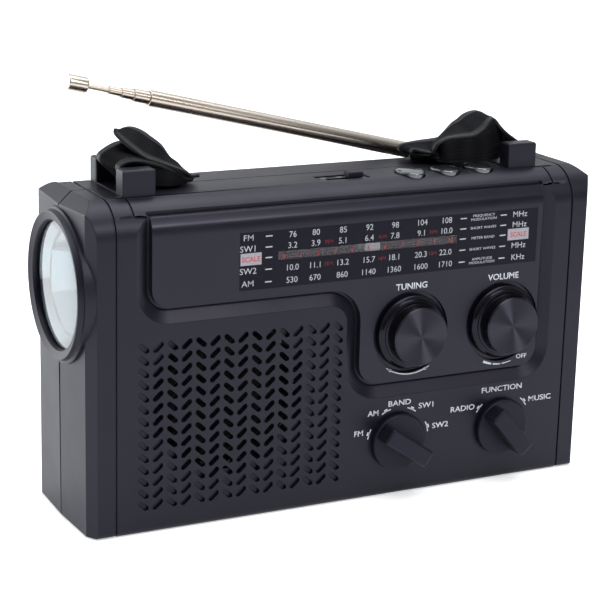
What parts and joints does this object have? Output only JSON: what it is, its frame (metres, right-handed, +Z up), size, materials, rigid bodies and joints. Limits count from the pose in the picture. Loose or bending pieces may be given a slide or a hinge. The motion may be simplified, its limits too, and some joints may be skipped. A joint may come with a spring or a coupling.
{
  "type": "portable emergency radio",
  "caption": "Portable multi-band radio with dial, rotary knobs, slotted speaker grille, end torch, telescopic antenna and webbing carrying strap.",
  "frame": {"origin": "centre of the flat base", "axes": "+X right along the cabinet, -Y front with the dial, +Z up"},
  "size_m": [0.238, 0.0993, 0.1785],
  "materials": {
    "cabinet": "moulded charcoal black, satin",
    "dial_print": "printed black film",
    "dial_strip": "smoked translucent",
    "pointer": "white",
    "knob_gloss": "glossy black",
    "knob_matt": "satin black",
    "switch_label": "black, printed",
    "webbing": "woven nylon",
    "steel": "zinc plated",
    "chrome": "nickel plated tube",
    "brass": "turned",
    "lens": "clear",
    "reflector": "vacuum metallised",
    "led": "clear lamp on a board",
    "board": "green circuit board",
    "inner_plastic": "moulded",
    "ferrite": "sintered",
    "speaker_steel": "zinc plated",
    "paper": "pressed paper",
    "cell": "printed sleeve"
  },
  "bodies": {
    "cabinet": {"band_switch": "inner_plastic", "battery_cells": "cell", "battery_contacts": "brass", "button_board": "board", "cabinet_screws": "steel", "control_board": "board", "dial_panel": "cabinet", "dial_scale": "dial_print", "dial_window": "dial_strip", "ferrite_aerial": "ferrite", "front_cabinet": "cabinet", "function_switch": "inner_plastic", "main_board": "board", "mains_inlet": "inner_plastic", "pointer_rail": "steel", "rear_cabinet": "cabinet", "round_sockets": "inner_plastic", "slide_switch_body": "inner_plastic", "socket_board": "board", "speaker_basket": "speaker_steel", "speaker_cone": "paper", "speaker_grille": "cabinet", "speaker_magnet": "speaker_steel", "strap": "webbing", "strap_bracket_left": "cabinet", "strap_bracket_right": "cabinet", "strap_pins": "steel", "switch_plate": "switch_label", "torch_led_board": "led", "torch_lens": "lens", "torch_reflector": "reflector", "torch_ring": "cabinet", "tuning_bush": "brass", "tuning_capacitor": "inner_plastic", "usb_socket": "chrome", "volume_pot": "inner_plastic"},
    "tuning": {"tuning_knob": "knob_gloss", "tuning_shaft": "steel"},
    "pointer": {"dial_pointer": "pointer"},
    "gang": {"tuning_drum": "inner_plastic"},
    "volume": {"volume_knob": "knob_gloss", "volume_shaft": "steel"},
    "band": {"band_knob": "knob_matt", "band_shaft": "steel"},
    "function": {"function_knob": "knob_matt", "function_shaft": "steel"},
    "switch_slider": {"slide_switch_knob": "knob_matt"},
    "button_1": {"push_button_1": "knob_gloss"},
    "button_2": {"push_button_2": "knob_gloss"},
    "button_3": {"push_button_3": "knob_gloss"},
    "antenna_swivel": {"antenna_base": "chrome", "antenna_pin_and_nut": "steel"},
    "antenna_1": {"antenna_section_1": "chrome"},
    "antenna_2": {"antenna_section_2": "chrome"},
    "antenna_3": {"antenna_section_3": "chrome"},
    "antenna_4": {"antenna_section_4": "chrome"},
    "antenna_5": {"antenna_section_5": "chrome", "antenna_tip": "chrome"},
    "door": {"battery_door": "cabinet"}
  },
  "joints": [
    {"name": "tuning_turn", "type": "hinge", "parent": "cabinet", "child": "tuning", "pos_m": [0.0272, -0.032, 0.0721], "axis": [0, 1, 0], "range_deg": [-840, 650]},
    {"name": "pointer_slide", "type": "slide", "parent": "cabinet", "child": "pointer", "axis": [1, 0, 0], "range_m": [-0.0472, 0.0366]},
    {"name": "gang_turn", "type": "hinge", "parent": "cabinet", "child": "gang", "pos_m": [-0.014, -0.008, 0.092], "axis": [0, 1, 0], "range_deg": [-101.5, 78.5]},
    {"name": "volume_turn", "type": "hinge", "parent": "cabinet", "child": "volume", "pos_m": [0.0725, -0.032, 0.0721], "axis": [0, 1, 0], "range_deg": [-30, 270]},
    {"name": "band_turn", "type": "hinge", "parent": "cabinet", "child": "band", "pos_m": [0.0225, -0.032, 0.0243], "axis": [0, 1, 0], "range_deg": [-30, 90]},
    {"name": "function_turn", "type": "hinge", "parent": "cabinet", "child": "function", "pos_m": [0.0743, -0.032, 0.0243], "axis": [0, 1, 0], "range_deg": [0, 92]},
    {"name": "switch_slide", "type": "slide", "parent": "cabinet", "child": "switch_slider", "axis": [1, 0, 0], "range_m": [-0.009, 0]},
    {"name": "button_1_press", "type": "slide", "parent": "cabinet", "child": "button_1", "axis": [0, 0, -1], "range_m": [0, 0.001], "stiffness_N_per_m": 300, "springref_m": -0.0003},
    {"name": "button_2_press", "type": "slide", "parent": "cabinet", "child": "button_2", "axis": [0, 0, -1], "range_m": [0, 0.001], "stiffness_N_per_m": 300, "springref_m": -0.0003},
    {"name": "button_3_press", "type": "slide", "parent": "cabinet", "child": "button_3", "axis": [0, 0, -1], "range_m": [0, 0.001], "stiffness_N_per_m": 300, "springref_m": -0.0003},
    {"name": "antenna_turn", "type": "hinge", "parent": "cabinet", "child": "antenna_swivel", "pos_m": [0.084, 0.027, 0.1311], "axis": [0, 1, 0], "range_deg": [-13.28, 120]},
    {"name": "antenna_fold", "type": "hinge", "parent": "antenna_swivel", "child": "antenna_1", "pos_m": [0.084, 0.027, 0.1311], "axis": [-0.2297, 0, -0.9733], "range_deg": [0, 90]},
    {"name": "antenna_slide_1", "type": "slide", "parent": "antenna_1", "child": "antenna_2", "axis": [-0.9733, 0, 0.2297], "range_m": [-0.004, 0.13]},
    {"name": "antenna_slide_2", "type": "slide", "parent": "antenna_2", "child": "antenna_3", "axis": [-0.9733, 0, 0.2297], "range_m": [-0.003, 0.13]},
    {"name": "antenna_slide_3", "type": "slide", "parent": "antenna_3", "child": "antenna_4", "axis": [-0.9733, 0, 0.2297], "range_m": [-0.003, 0.13]},
    {"name": "antenna_slide_4", "type": "slide", "parent": "antenna_4", "child": "antenna_5", "axis": [-0.9733, 0, 0.2297], "range_m": [-0.008, 0.13]},
    {"name": "door_open", "type": "hinge", "parent": "cabinet", "child": "door", "pos_m": [0, 0.0307, 0.0044], "axis": [-1, 0, 0], "range_deg": [0, 75]}
  ],
  "couplings": [
    {"joint": "pointer_slide", "follows": "tuning_turn", "m_per_rad": 0.0032058},
    {"joint": "gang_turn", "follows": "tuning_turn", "ratio": 0.12}
  ]
}
